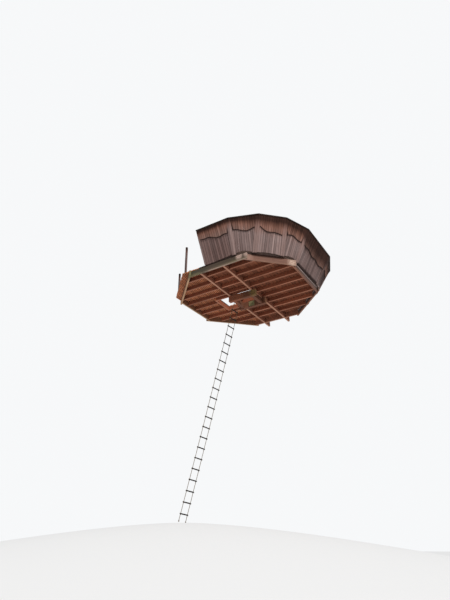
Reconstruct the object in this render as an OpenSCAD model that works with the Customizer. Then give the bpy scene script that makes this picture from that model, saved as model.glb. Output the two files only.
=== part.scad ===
// Tree house: an eight-sided timber platform clamped round a trunk, with a flared plank parapet,
// an open slatted terrace, a hatch and a rope ladder. Millimetres, +Z up.
// The origin lies on the trunk-side face of the near clamp pad, halfway up it.

/* [Trunk and clamp] */
// Radius of the trunk where the clamp grips it
trunk_r = 295; // [240:5:340]
// Thickness of the pads between the trunk and the clamp beams
pad_thick = 30; // [20:5:60]
// Width of a pad
pad_width = 240; // [160:10:320]
// Height of a pad
pad_height = 200; // [140:10:240]
// Thickness of the clamp beams and side beams
clamp_thick = 130; // [90:5:180]
// Depth of the clamp beams
clamp_depth = 240; // [200:10:300]
// Length of a clamp beam beyond the outer face of the left main beam
clamp_overhang = 15; // [5:5:40]
// Length of a clamp beam beyond the outer face of the right main beam
clamp_tail = 125; // [20:5:150]
// Depth of the side beams that close the clamp
side_depth = 180; // [120:10:200]
// Clearance from the trunk to the side beams
side_clearance = 25; // [5:5:60]

/* [Platform frame] */
// Half-width of the rim, from the trunk to the outer face of a straight rim beam
rim_half = 2425; // [2300:5:2550]
// How far the straight sides reach from their middles to the near right corner beam
near_straight = 1205; // [1100:5:1300]
// The same reach to the far right corner beam
far_straight = 1080; // [1000:5:1200]
// The same reach to the two corner beams of the terrace
terrace_straight = 1005; // [900:5:1100]
// Thickness of a rim beam
rim_thick = 60; // [45:5:80]
// Depth of the rim beams and main beams
beam_depth = 200; // [170:5:240]
// Length of a rim beam beyond a corner where it runs on
beam_overrun = 150; // [60:10:220]
// Distance between the centre lines of the two main beams
main_spacing = 930; // [900:5:960]
// Width of a main beam
main_width = 75; // [60:5:100]
// How far the middle between the main beams lies to the left of the trunk's centre
main_shift = 55; // [40:5:70]
// Length of the main beams beyond the far rim beam
main_overrun = 400; // [100:10:450]
// Width of a joist
joist_width = 60; // [40:5:80]
// Depth of a joist
joist_depth = 150; // [110:5:165]
// Number of joists along the platform
joist_count = 9; // [7:1:9]
// Distance between the centre lines of two joists
joist_pitch = 480; // [440:5:495]
// Distance from the near rim beam's inner face to the first joist's centre line
joist_margin = 340; // [250:10:360]

/* [Hatch] */
// Number of slats that the hatch takes the place of
hatch_slats = 9; // [8:1:10]
// Near edge of the hatch, in front of the trunk's centre
hatch_near = 300; // [240:10:400]
// Far edge of the hatch, behind the trunk's centre
hatch_far = 600; // [540:10:820]
// Thickness of the timbers that frame the hatch and the trunk hole
trimmer_thick = 60; // [40:5:80]

/* [Deck] */
// Thickness of the deck boards
deck_thick = 40; // [25:5:50]
// How far the slats reach past the rim at the outer sides of the terrace
deck_overhang = 200; // [120:10:260]
// Clearance left round the trunk in the floor
growth_gap = 85; // [50:5:110]
// Width of a terrace slat
slat_width = 45; // [35:1:55]
// Gap between two terrace slats
slat_gap = 24; // [15:1:30]

/* [Parapet] */
// Height of the parapet's planks above the deck
parapet_height = 1080; // [950:5:1200]
// How far the planks reach down over the edge of the deck
plank_lap = 10; // [2:1:30]
// Distance from the rim's outer face to the long sides of the parapet at their foot
foot_lip = 35; // [28:1:60]
// How far the top of a long side leans out beyond its foot
flare = 570; // [400:10:650]
// Length of a long side at its foot
long_foot = 1800; // [1700:10:1900]
// Length of a long side at the top
long_top = 2020; // [1900:10:2100]
// Length of a turning side at its foot
turn_foot = 680; // [600:10:740]
// Length of a turning side at the top
turn_top = 1040; // [940:10:1120]
// Angle between a long side and the turning side next to it
turn_angle = 20.5; // [19.5:0.5:21.5]
// Thickness of the planks
plank_thick = 22; // [16:1:30]
// Thickness of the wave-cut upper boards and the corner boards
cover_thick = 18; // [12:1:25]
// Width of a corner board
corner_board = 75; // [55:5:95]
// Rise of the low arches that the planks' feet are cut to, in the middle of a corner side
foot_rise = 50; // [20:5:60]
// Mean depth of the wave-cut upper boards
wave_depth = 480; // [420:10:540]
// Rise and fall of their lower edge
wave_rise = 120; // [60:10:140]
// Thickness of the framing behind the planks
frame_thick = 45; // [35:5:60]
// Height of the upper and lower frame rails
frame_rail = 95; // [70:5:120]
// Width of a stud
stud_width = 70; // [50:5:90]
// Thickness of the cap boards
cap_thick = 25; // [18:1:35]
// How far the cap boards reach past the planks
cap_lip = 30; // [20:2:50]

/* [Terrace] */
// Where the parapet ends, left of the trunk's centre
parapet_end = 285; // [200:5:380]
// Height of a terrace post above the deck
post_height = 1100; // [900:10:1250]
// Width of a square terrace post
post_width = 65; // [50:5:90]
// Distance from the rim's outer faces out to the middle of a terrace post
post_out = 95; // [40:5:130]

/* [Rope ladder] */
// Distance between two rungs
rung_pitch = 350; // [320:5:352]
// Number of rungs
rung_count = 22; // [18:1:22]
// Diameter of a rung
rung_d = 42; // [34:1:50]
// Length of a rung
rung_length = 350; // [335:5:400]
// Distance between the two side ropes
rope_spacing = 290; // [270:5:310]
// Diameter of a side rope
rope_d = 18; // [14:1:24]
// Outer diameter of the eyes that the ropes hang from
eye_d = 48; // [40:1:60]
// Thickness of an eye's bar
eye_bar = 9; // [6:1:11]
// Diameter of a knot
knot_d = 40; // [34:1:50]
// Length of a knot
knot_length = 46; // [36:1:60]

/* [Hidden] */

root2 = sqrt(2);
fit = 0.3;                                  // clearance where a piece stands beside another
far_off = 9000;                             // longer than the platform, for cutting

// Heights above the underside of the main beams
deck_under = beam_depth;
deck_top = deck_under + deck_thick;
plank_foot = deck_top - plank_lap;
plank_top = deck_top + parapet_height;
joist_under = deck_under - joist_depth;

// Main beams, left and right: each one's middle, and the faces of the pair
function main_x(side) = side * main_spacing / 2 - main_shift;
left_outer = main_x(-1) - main_width / 2;
left_inner = main_x(-1) + main_width / 2;
right_inner = main_x(1) - main_width / 2;
right_outer = main_x(1) + main_width / 2;

// Clamp, measured from the trunk's centre
clamp_inner = trunk_r + pad_thick;
clamp_outer = clamp_inner + clamp_thick;
clamp_left = left_outer - clamp_overhang;
clamp_right = right_outer + clamp_tail;
clamp_mid = -clamp_depth / 2;
side_inner = trunk_r + side_clearance;

// Frame
rim_inner = rim_half - rim_thick;
joist_first = -rim_inner + joist_margin;
hole_half = trunk_r + growth_gap;
slat_pitch = slat_width + slat_gap;
hatch_right = left_outer;
hatch_left = left_outer - hatch_slats * slat_pitch - slat_gap;

// Colours
weathered = [0.46, 0.41, 0.37];
reddish = [0.42, 0.25, 0.18];
silvery = [0.52, 0.46, 0.44];
mossy = [0.42, 0.40, 0.28];
dark_wood = [0.25, 0.17, 0.12];
rope_grey = [0.40, 0.36, 0.30];

// The eight sides of the rim, anticlockwise from the near one: direction and reach of each
rim_dirs = [-90, -45, 0, 45, 90, 135, 180, 225];
straights = [near_straight, far_straight, terrace_straight, terrace_straight];
function rim_reach(k) = k % 2 == 0 ? rim_half : (rim_half + straights[(k - 1) / 2]) / root2;
// The beam that runs on at the corner between side k and the next one: all corner beams do,
// apart from the first corner, where the near beam does
function runs_on(k) = k % 2 == 1 || k == 0 ? k : k + 1;

// Where two lines meet in plan, each given by its direction from the trunk and its reach
function meet(dir_a, reach_a, dir_b, reach_b) =
    let (turn = sin(dir_b - dir_a))
    [(reach_a * sin(dir_b) - reach_b * sin(dir_a)) / turn,
     (reach_b * cos(dir_a) - reach_a * cos(dir_b)) / turn];

// Outline of the rim moved out by a margin
function rim_outline(margin) = [
    for (k = [0:7])
        let (n = (k + 1) % 8)
        meet(rim_dirs[k], rim_reach(k) + margin, rim_dirs[n], rim_reach(n) + margin)
];

// The nine parapet panels, anticlockwise from the near one
panel_dirs = [
    -90, -90 + turn_angle, -45, -turn_angle, 0, turn_angle, 45, 90 - turn_angle, 90
];
function kind(k) = k % 4 == 0 ? 0 : (k % 4 == 2 ? 2 : 1);
// Distances from the trunk to the long, turning and corner sides, from the sides' lengths
function side_reaches(long_reach, long_side, turn_side) = [
    long_reach,
    long_reach * cos(turn_angle) + long_side / 2 * sin(turn_angle),
    (long_reach + long_side / 2 + turn_side * (cos(turn_angle) - sin(turn_angle))) / root2
];
foot_long = rim_half + foot_lip;
foot_reaches = side_reaches(foot_long, long_foot, turn_foot);
top_reaches = side_reaches(foot_long + flare, long_top, turn_top);
function foot_reach(k) = foot_reaches[kind(k)];
function top_reach(k) = top_reaches[kind(k)];
function panel_lean(k) = atan((top_reach(k) - foot_reach(k)) / (plank_top - plank_foot));
function reach_at(k, z) =
    foot_reach(k) + (top_reach(k) - foot_reach(k)) * (z - plank_foot) / (plank_top - plank_foot);

// Where panel k meets the next one, at a height and moved out by a margin
function panel_corner(k, z, margin) =
    meet(panel_dirs[k], reach_at(k, z) + margin, panel_dirs[k + 1], reach_at(k + 1, z) + margin);
// Distance along a side from its middle
function along(k, point) = point[1] * cos(panel_dirs[k]) - point[0] * sin(panel_dirs[k]);
// Start and end of panel k along its side: the two ends of the parapet are square
function panel_start(k, z, margin) =
    k == 0 ? -parapet_end : along(k, panel_corner(k - 1, z, margin));
function panel_stop(k, z, margin) =
    k == 8 ? parapet_end : along(k, panel_corner(k, z, margin));

module from_trunk() {
    translate([0, trunk_r, -clamp_mid]) children();
}

module on_rim(k) {
    rotate([0, 0, rim_dirs[k]]) children();
}

// Clamp round the trunk
module clamp_pad(side) {
    color(mossy) from_trunk()
        translate([-pad_width / 2, side > 0 ? trunk_r : -clamp_inner, clamp_mid - pad_height / 2])
            cube([pad_width, pad_thick, pad_height]);
}

module clamp_beam(side) {
    color(weathered) from_trunk()
        translate([clamp_left, side > 0 ? clamp_inner : -clamp_outer, -clamp_depth])
            cube([clamp_right - clamp_left, clamp_thick, clamp_depth]);
}

module clamp_side(side) {
    color(weathered) from_trunk()
        translate([
            side > 0 ? side_inner : -side_inner - clamp_thick,
            -clamp_inner,
            clamp_mid - side_depth / 2
        ])
            cube([clamp_thick, 2 * clamp_inner, side_depth]);
}

// Main beams and rim
module main_beam(side) {
    color(weathered) from_trunk()
        translate([main_x(side) - main_width / 2, -rim_inner, 0])
            cube([main_width, rim_inner + rim_half + main_overrun, beam_depth]);
}

// Distance from the middle of side k's outer face to its corner with side n
function corner_along(k, n) =
    let (c = meet(rim_dirs[k], rim_reach(k), rim_dirs[n], rim_reach(n)))
    abs(c[1] * cos(rim_dirs[k]) - c[0] * sin(rim_dirs[k]));

// Everything on the trunk's side of the inner face of rim beam n
module inside_beam(n) {
    on_rim(n) translate([-far_off, -far_off / 2, -1])
        cube([far_off + rim_reach(n) - rim_thick, far_off, beam_depth + 2]);
}

// A rim beam runs on past a corner or ends against its neighbour's inner face
module rim_beam(k) {
    prev = (k + 7) % 8;
    next = (k + 1) % 8;
    start = corner_along(k, prev) + beam_overrun;
    stop = corner_along(k, next) + beam_overrun;
    color(weathered) from_trunk() intersection() {
        on_rim(k) translate([rim_reach(k) - rim_thick, -start, 0])
            cube([rim_thick, start + stop, beam_depth]);
        if (runs_on(prev) != k) inside_beam(prev);
        if (runs_on(k) != k) inside_beam(next);
    }
}

// The main beams pass through the far rim beam, which is in three lengths
module far_rim_beam() {
    difference() {
        rim_beam(4);
        from_trunk()
            for (side = [-1, 1])
                translate([main_x(side) - main_width / 2 - fit, 0, -1])
                    cube([main_width + 2 * fit, far_off, beam_depth + 2]);
    }
}

// Joists lie along X between the rim and the main beams
function joist_y(i) = joist_first + i * joist_pitch;

module frame_interior() {
    translate([0, 0, joist_under - 1]) linear_extrude(joist_depth + 2) polygon(rim_outline(-rim_thick));
}

module joist_run(i, from_x, to_x) {
    translate([from_x, joist_y(i) - joist_width / 2, joist_under])
        cube([to_x - from_x, joist_width, joist_depth]);
}

function beside_hatch(i) =
    joist_y(i) + joist_width / 2 > -hatch_near - trimmer_thick
    && joist_y(i) - joist_width / 2 < hatch_far + trimmer_thick;
function beside_trunk(i) = abs(joist_y(i)) < hole_half + trimmer_thick + joist_width / 2;

module joists_left() {
    color(reddish) from_trunk() intersection() {
        frame_interior();
        for (i = [0:joist_count - 1])
            joist_run(i, -rim_inner, beside_hatch(i) ? hatch_left - trimmer_thick : left_outer);
    }
}

module joists_middle() {
    color(reddish) from_trunk() {
        for (i = [0:joist_count - 1])
            if (!beside_trunk(i)) joist_run(i, left_inner, right_inner);
        for (side = [-1, 1])
            translate([left_inner, side > 0 ? hole_half : -hole_half - trimmer_thick, joist_under])
                cube([right_inner - left_inner, trimmer_thick, joist_depth]);
    }
}

module joists_right() {
    color(reddish) from_trunk() intersection() {
        frame_interior();
        for (i = [0:joist_count - 1])
            joist_run(i, right_outer, rim_inner);
    }
}

module hatch_trimmers() {
    color(reddish) from_trunk() {
        translate([hatch_left - trimmer_thick, -hatch_near - trimmer_thick, joist_under])
            cube([trimmer_thick, hatch_near + hatch_far + 2 * trimmer_thick, joist_depth]);
        for (y = [-hatch_near - trimmer_thick, hatch_far])
            translate([hatch_left + fit, y, joist_under])
                cube([hatch_right - hatch_left - fit, trimmer_thick, joist_depth]);
    }
}

// Deck: its edge lies behind the planks, and the slats reach past the rim on the terrace side
function back_face(k) = -plank_thick / cos(panel_lean(k)) - fit;
function edge_reach(k) = foot_reach(k) + back_face(k);
function slat_reach(k) = rim_reach(k) + deck_overhang;
deck_edge = concat(
    [meet(rim_dirs[7], slat_reach(7), panel_dirs[0], edge_reach(0))],
    [for (k = [0:7]) meet(panel_dirs[k], edge_reach(k), panel_dirs[k + 1], edge_reach(k + 1))],
    [meet(panel_dirs[8], edge_reach(8), rim_dirs[5], slat_reach(5))],
    [for (k = [5, 6]) meet(rim_dirs[k], slat_reach(k), rim_dirs[k + 1], slat_reach(k + 1))]
);

module floor_piece(low_x, low_y, high_x, high_y) {
    color(reddish) from_trunk() intersection() {
        translate([low_x, low_y, deck_under]) cube([high_x - low_x, high_y - low_y, deck_thick]);
        translate([0, 0, deck_under - 1]) linear_extrude(deck_thick + 2) polygon(deck_edge);
    }
}

module hatch_threshold() {
    color(reddish) from_trunk()
        translate([hatch_right, -hole_half, deck_under])
            cube([-hole_half - hatch_right, 2 * hole_half, deck_thick]);
}

// Slats run along Y, from the terrace's inner edge outwards
deck_half = rim_half + deck_overhang;
function slat_x(i) = hatch_right - slat_gap - slat_width - i * slat_pitch;
outer_slats = floor((deck_half + slat_x(hatch_slats)) / slat_pitch) + 1;

module slats(first, count, low_y, high_y) {
    color(reddish) from_trunk() intersection() {
        for (i = [first:first + count - 1])
            translate([slat_x(i), low_y, deck_under]) cube([slat_width, high_y - low_y, deck_thick]);
        translate([0, 0, deck_under - 1]) linear_extrude(deck_thick + 2) polygon(deck_edge);
    }
}

// Parapet
module on_side(k) {
    rotate([0, 0, panel_dirs[k]]) children();
}

// Sloping face of panel k: X runs along the side, Y up the slope and Z outwards
module on_slope(k) {
    on_side(k) translate([foot_reach(k), 0, plank_foot]) rotate([90, 0, 90]) rotate([panel_lean(k), 0, 0])
        children();
}

function slope_length(k) = (plank_top - plank_foot) / cos(panel_lean(k));

// Outline of panel k on its slope, between two lengths up it, less a margin at each end
function panel_shape(k, low, high, margin) = [
    for (corner = [[0, low], [1, low], [1, high], [0, high]])
        let (z = plank_foot + corner[1] * cos(panel_lean(k)))
        [corner[0] == 0 ? panel_start(k, z, 0) + margin : panel_stop(k, z, 0) - margin, corner[1]]
];

mitre = plank_thick * tan(45 - turn_angle) / 2 + 1;
trim = 20;                                  // spare length that the level cuts take off

// The parapet's boards are cut level at the foot and the top
module level_cut() {
    intersection() {
        children();
        translate([-far_off / 2, -far_off / 2, plank_foot])
            cube([far_off, far_off, plank_top - plank_foot]);
    }
}

// A smooth bow through the heights at the start, the middle and the end of a side
function bow(heights, share) =
    heights[0] + (4 * heights[1] - 3 * heights[0] - heights[2]) * share
    + 2 * (heights[0] - 2 * heights[1] + heights[2]) * share * share;

// How far the feet of each side's planks are cut back, as shares of the rise: start, middle, end
foot_bows = [
    [0, 0.2, 0.9], [0.4, 2, 0.1], [0.2, 0.9, 0], [0, 1.9, 0.7], [0, 0.4, 0.6],
    [0.5, 1.8, 0], [0, 0.9, 0.3], [0.1, 1.9, 0.2], [0.8, 0.3, 0]
];
// How deep the wave-cut boards reach on each side beyond their mean depth, as shares of their rise
wave_bows = [
    [-1.5, -0.3, 0.1], [-0.9, -0.1, -0.8], [-1, 0.5, 0.6], [0.2, 0, 0.5], [0, 1, 1.2],
    [0.8, 0, 0.3], [0.5, 0.7, -0.4], [-0.5, 0, -0.7], [-0.3, 0.3, -0.8]
];
ripple = 30;                                // a short wave on the long one
ripple_length = 620;

// Heights up the slope of panel k, at a distance along it: the planks' foot and the wavy edge
function foot_edge(k, u) =
    let (a = panel_start(k, plank_foot, 0), b = panel_stop(k, plank_foot, 0))
    foot_rise * bow(foot_bows[k], min(1, max(0, (u - a) / (b - a))));
function wave_edge(k, u) =
    let (a = panel_start(k, plank_top, 0), b = panel_stop(k, plank_top, 0))
    slope_length(k) - wave_depth - wave_rise * bow(wave_bows[k], (u - a) / (b - a))
    + ripple * sin(u * 360 / ripple_length);

// The part of panel k's slope above a list of heights, which are evenly spaced along its top
edge_steps = 14;
function step_place(k, i) =
    let (a = panel_start(k, plank_top, 0), b = panel_stop(k, plank_top, 0))
    a + (b - a) * i / edge_steps;
module above_edge(k, heights) {
    high = slope_length(k) + 2 * trim;
    polygon(concat(
        [[step_place(k, edge_steps), high], [step_place(k, 0), high]],
        [for (i = [0:edge_steps]) [step_place(k, i), heights[i]]]
    ));
}

module planks(k) {
    color(silvery) from_trunk() level_cut() on_slope(k)
        translate([0, 0, -plank_thick]) linear_extrude(plank_thick)
            intersection() {
                polygon(panel_shape(k, -trim, slope_length(k) + trim, mitre));
                above_edge(k, [for (i = [0:edge_steps]) foot_edge(k, step_place(k, i))]);
            }
}

board_gap = 2;                              // between the wave-cut boards and the corner boards

module wave_boards() {
    color(dark_wood) from_trunk()
        for (k = [0:8])
            level_cut() on_slope(k) linear_extrude(cover_thick)
                intersection() {
                    polygon(panel_shape(k, 0, slope_length(k) + trim, corner_board + board_gap));
                    above_edge(k, [for (i = [0:edge_steps]) wave_edge(k, step_place(k, i))]);
                }
}

module corner_boards() {
    color(silvery) from_trunk()
        for (k = [0:8])
            level_cut() on_slope(k) linear_extrude(cover_thick)
                difference() {
                    polygon(panel_shape(k, -trim, slope_length(k) + trim, 1));
                    polygon(panel_shape(k, -2 * trim, slope_length(k) + 2 * trim, corner_board));
                }
}

// A leaning timber behind the planks of side k, between two heights and two places along it
module leaning_bar(k, low_z, high_z, start, stop) {
    lean = panel_lean(k);
    out = -plank_thick / cos(lean);
    wide = frame_thick / cos(lean);
    on_side(k) translate([0, stop, 0]) rotate([90, 0, 0]) linear_extrude(stop - start)
        polygon([
            [reach_at(k, low_z) + out - wide, low_z], [reach_at(k, low_z) + out, low_z],
            [reach_at(k, high_z) + out, high_z], [reach_at(k, high_z) + out - wide, high_z]
        ]);
}

sole_width = 125;                           // from the planks' outer face inwards
sole_height = 50;
sole_top = deck_top + sole_height;
lower_rail_top = sole_top + frame_rail;
upper_rail_low = plank_top - frame_rail;
rail_gap = 12;
function rail_start(k) = panel_start(k, plank_foot, -frame_thick - plank_thick) + rail_gap;
function rail_stop(k) = panel_stop(k, plank_foot, -frame_thick - plank_thick) - rail_gap;

module frame_rails() {
    color(silvery) from_trunk()
        for (k = [0:8]) {
            leaning_bar(k, sole_top, lower_rail_top, rail_start(k), rail_stop(k));
            leaning_bar(k, upper_rail_low, plank_top, rail_start(k), rail_stop(k));
        }
}

function stud_places(k) =
    let (a = rail_start(k), b = rail_stop(k) - stud_width)
    kind(k) == 0 ? [a, (a + b) / 2, b] : [a, b];

module studs() {
    color(silvery) from_trunk()
        for (k = [0:8])
            for (u = stud_places(k))
                leaning_bar(k, lower_rail_top, upper_rail_low, u, u + stud_width);
}

// A flat timber along side k, between two margins from the planks' outer face at a height
module flat_ring_piece(k, z, inner, outer, low, thick) {
    shape = [
        [reach_at(k, z) + inner, panel_start(k, z, inner) + 1],
        [reach_at(k, z) + outer, panel_start(k, z, outer) + 1],
        [reach_at(k, z) + outer, panel_stop(k, z, outer) - 1],
        [reach_at(k, z) + inner, panel_stop(k, z, inner) - 1]
    ];
    on_side(k) translate([0, 0, low]) linear_extrude(thick) polygon(shape);
}

module parapet_sole() {
    color(weathered) from_trunk()
        for (k = [0:8])
            flat_ring_piece(k, deck_top, -sole_width, back_face(k), deck_top, sole_height);
}

module parapet_cap() {
    inner = -plank_thick - frame_thick - cap_lip;
    outer = cover_thick + cap_lip;
    color(dark_wood) from_trunk()
        for (k = [0:8])
            flat_ring_piece(k, plank_top, inner, outer, plank_top, cap_thick);
}

// Terrace posts stand on the deck at the corners of the terrace, clear of the near and far edges
function post_reach(k) = k % 4 == 0 ? rim_half - post_width / 2 : rim_reach(k) + post_out;

module terrace_posts() {
    color(weathered) from_trunk()
        for (k = [4:7])
            let (n = (k + 1) % 8, corner = meet(rim_dirs[k], post_reach(k), rim_dirs[n], post_reach(n)))
            translate([corner[0] - post_width / 2, corner[1] - post_width / 2, deck_top])
                cube([post_width, post_width, post_height]);
}

// Rope ladder: it hangs from eyes in the left main beam and is drawn aside at the ground
ladder_route = [
    [-618, 232, 60], [-725, 189, -440], [-835, 147, -940], [-947, 104, -1440],
    [-1060, 61, -1940], [-1173, 19, -2440], [-1287, -24, -2940], [-1402, -67, -3440],
    [-1517, -110, -3940], [-1633, -152, -4440], [-1750, -195, -4940], [-1868, -238, -5440],
    [-1987, -281, -5940], [-2107, -324, -6440], [-2228, -366, -6940], [-2398, -426, -7640]
];
route_last = len(ladder_route) - 1;
ladder_top = ladder_route[0];
ladder_foot = ladder_route[route_last];
ladder_dir = (ladder_foot - ladder_top) / norm(ladder_foot - ladder_top);
rung_turn = 76;                             // direction of the rungs in plan, from +X
rung_plan = [cos(rung_turn), sin(rung_turn), 0];
rung_line = rung_plan - ladder_dir * (ladder_dir * rung_plan);
rung_dir = rung_line / norm(rung_line);
first_rung = 383;                           // from the top of the ropes down to the first rung
rope_sides = 10;
rung_hole = rope_d + 0.6;
eye_middle = knot_length + eye_d / 2;       // above the top of the ropes

// Where a side rope runs: the ropes start beside the beam and then turn to the ladder's rungs
function rope_point(i, side) =
    ladder_route[i] + (i == 0 ? [0, 1, 0] : rung_dir) * side * rope_spacing / 2;

// The point of the route at a height, with the stretch that it lies on
function stretch(z, i = 0) = i >= route_last - 1 || ladder_route[i + 1][2] <= z ? i : stretch(z, i + 1);
function route_at(z) =
    let (i = stretch(z), a = ladder_route[i], b = ladder_route[i + 1])
    a + (b - a) * (z - a[2]) / (b[2] - a[2]);
function route_dir(z) =
    let (i = stretch(z), step = ladder_route[i + 1] - ladder_route[i]) step / norm(step);

// Turns a piece drawn along +Z to a direction
module aim(direction) {
    rotate([0, acos(direction[2]), atan2(direction[1], direction[0])]) children();
}

// The side ropes pass through holes near the ends of each rung
module rung(z) {
    difference() {
        translate(route_at(z) - rung_dir * rung_length / 2)
            aim(rung_dir) cylinder(h = rung_length, d = rung_d, $fn = 24);
        for (side = [-1, 1])
            translate(route_at(z) + rung_dir * side * rope_spacing / 2 - route_dir(z) * rung_d)
                aim(route_dir(z)) cylinder(h = 2 * rung_d, d = rung_hole, $fn = 24);
    }
}

module rungs() {
    color(dark_wood) from_trunk()
        for (i = [0:rung_count - 1])
            rung(ladder_top[2] + ladder_dir[2] * (first_rung + i * rung_pitch));
}

// A side rope is one tube swept along its points
module rope(side) {
    rings = [
        for (i = [0:route_last])
            for (k = [0:rope_sides - 1])
                rope_point(i, side)
                + rope_d / 2 * [cos(k * 360 / rope_sides), sin(k * 360 / rope_sides), 0]
    ];
    walls = [
        for (i = [0:route_last - 1])
            for (k = [0:rope_sides - 1])
                let (a = i * rope_sides, n = (k + 1) % rope_sides)
                [a + n, a + k, a + rope_sides + k, a + rope_sides + n]
    ];
    top_end = [[for (k = [0:rope_sides - 1]) k]];
    foot_end = [[for (k = [rope_sides - 1:-1:0]) route_last * rope_sides + k]];
    color(rope_grey) from_trunk() polyhedron(rings, concat(walls, top_end, foot_end));
}

// A knot closes each end of each rope
module knots() {
    color(rope_grey) from_trunk()
        for (side = [-1, 1]) {
            translate(rope_point(0, side)) cylinder(h = knot_length, d = knot_d, $fn = 24);
            translate(rope_point(route_last, side) - [0, 0, knot_length])
                cylinder(h = knot_length, d = knot_d, $fn = 24);
        }
}

// Eyes screwed into the side of the left main beam
module eyes() {
    ring_x = ladder_top[0];
    color("dimgray") from_trunk()
        for (side = [-1, 1])
            translate(rope_point(0, side) + [0, 0, eye_middle]) {
                rotate([90, 0, 0]) rotate_extrude($fn = 32)
                    translate([(eye_d - eye_bar) / 2, 0]) circle(d = eye_bar, $fn = 16);
                translate([(eye_d - eye_bar) / 2, 0, 0]) rotate([0, 90, 0])
                    cylinder(h = left_outer - ring_x - (eye_d - eye_bar) / 2, d = eye_bar, $fn = 24);
            }
}

clamp_pad(-1);  // clamp_pad_near
clamp_pad(1);  // clamp_pad_far
clamp_beam(-1);  // clamp_beam_near
clamp_beam(1);  // clamp_beam_far
clamp_side(-1);  // clamp_side_left
clamp_side(1);  // clamp_side_right
main_beam(-1);  // main_beam_left
main_beam(1);  // main_beam_right
rim_beam(0);  // rim_beam_near
rim_beam(1);  // rim_beam_near_right
rim_beam(2);  // rim_beam_right
rim_beam(3);  // rim_beam_far_right
far_rim_beam();  // rim_beam_far
rim_beam(5);  // rim_beam_far_left
rim_beam(6);  // rim_beam_left
rim_beam(7);  // rim_beam_near_left
joists_left();
joists_middle();
joists_right();
hatch_trimmers();
floor_piece(hole_half, -far_off, far_off, far_off);  // floor_right
floor_piece(hatch_right, -far_off, hole_half, -hole_half);  // floor_near
floor_piece(hatch_right, hole_half, hole_half, far_off);  // floor_far
hatch_threshold();
slats(hatch_slats, outer_slats, -far_off, far_off);  // terrace_slats_outer
slats(0, hatch_slats, -far_off, -hatch_near);  // terrace_slats_near
slats(0, hatch_slats, hatch_far, far_off);  // terrace_slats_far
parapet_sole();
planks(0);  // parapet_near
planks(1);  // parapet_near_turn_a
planks(2);  // parapet_near_corner
planks(3);  // parapet_near_turn_b
planks(4);  // parapet_right
planks(5);  // parapet_far_turn_b
planks(6);  // parapet_far_corner
planks(7);  // parapet_far_turn_a
planks(8);  // parapet_far
frame_rails();  // parapet_frame_rails
studs();  // parapet_studs
wave_boards();  // parapet_wave_boards
corner_boards();  // parapet_corner_boards
parapet_cap();
terrace_posts();
eyes();  // ladder_eyes
knots();  // ladder_knots
rope(-1);  // ladder_rope_left
rope(1);  // ladder_rope_right
rungs();  // ladder_rungs
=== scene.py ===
"""Dresses the tree house: boards cut from its solids, woods, ropes, small iron, floor and light."""

import math
import random

import bmesh
import bpy
from mathutils import Matrix, Vector, noise


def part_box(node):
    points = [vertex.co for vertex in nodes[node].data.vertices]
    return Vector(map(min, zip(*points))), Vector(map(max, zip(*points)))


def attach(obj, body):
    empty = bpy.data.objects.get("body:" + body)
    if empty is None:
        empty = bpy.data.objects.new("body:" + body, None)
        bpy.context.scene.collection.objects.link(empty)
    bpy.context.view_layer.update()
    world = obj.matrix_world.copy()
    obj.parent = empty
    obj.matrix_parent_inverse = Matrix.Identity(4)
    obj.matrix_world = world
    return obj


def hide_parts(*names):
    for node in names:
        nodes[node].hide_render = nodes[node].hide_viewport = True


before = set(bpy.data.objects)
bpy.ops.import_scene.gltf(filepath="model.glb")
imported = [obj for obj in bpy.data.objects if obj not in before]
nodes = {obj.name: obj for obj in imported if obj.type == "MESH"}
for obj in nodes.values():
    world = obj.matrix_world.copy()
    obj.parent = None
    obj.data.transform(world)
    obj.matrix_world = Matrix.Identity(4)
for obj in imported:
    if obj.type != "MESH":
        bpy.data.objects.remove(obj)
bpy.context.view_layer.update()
scene = bpy.context.scene

UP = Vector((0, 0, 1))
DOWN = Vector((0, 0, -1))
BODY = "root"

# Places that the rest is measured from
BEAM_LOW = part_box("main_beam_left")[0].z
BEAM_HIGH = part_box("main_beam_left")[1].z
CAP_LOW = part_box("parapet_cap")[0].z
RIM_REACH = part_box("rim_beam_right")[1].x
CLAMP_Y = (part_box("clamp_pad_near")[1].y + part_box("clamp_pad_far")[0].y) / 2
CLAMP_MIDDLE = Vector((0, CLAMP_Y, BEAM_LOW))


def from_clamp(x, y, z):
    """A point given in millimetres from the clamp's middle, level with the main beams' underside."""
    return CLAMP_MIDDLE + Vector((x, y, z)) / 1000


# Pieces and shapes that several parts share


def link(name, data):
    """A new object of the scene."""
    thing = bpy.data.objects.new(name, data)
    scene.collection.objects.link(thing)
    return thing


# Values that finishes read from a mesh: their kind, and whether points or corners have them
FIELDS = {
    "grain": ("FLOAT_VECTOR", "POINT"),
    "board": ("FLOAT_VECTOR", "CORNER"),
    "under": ("FLOAT", "CORNER"),
    "foot": ("FLOAT", "POINT"),
    "groove": ("FLOAT", "POINT")
}


def new_mesh(name, points, faces, material, **fields):
    mesh = bpy.data.meshes.new(name)
    mesh.from_pydata(points, [], faces)
    for field, values in fields.items():
        kind, domain = FIELDS[field]
        data = mesh.attributes.new(field, kind, domain).data
        data.foreach_set("vector" if kind == "FLOAT_VECTOR" else "value", values)
    mesh.update()
    mesh.materials.append(material)
    return mesh


def place_piece(mesh, name, replaced=()):
    """A mesh as a piece that rides with the part and stands for some of its nodes."""
    piece = link(name, mesh)
    if replaced:
        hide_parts(*replaced)
    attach(piece, BODY)
    return piece


def square_to(axis):
    """Two unit vectors square to a unit vector and to each other."""
    side = axis.orthogonal().normalized()
    return side, axis.cross(side)


def spoke(side, other, angle):
    """The unit vector at an angle from one vector towards another that is square to it."""
    return side * math.cos(angle) + other * math.sin(angle)


def angles(count):
    """Even steps round a circle."""
    return [2 * math.pi * number / count for number in range(count)]


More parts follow.
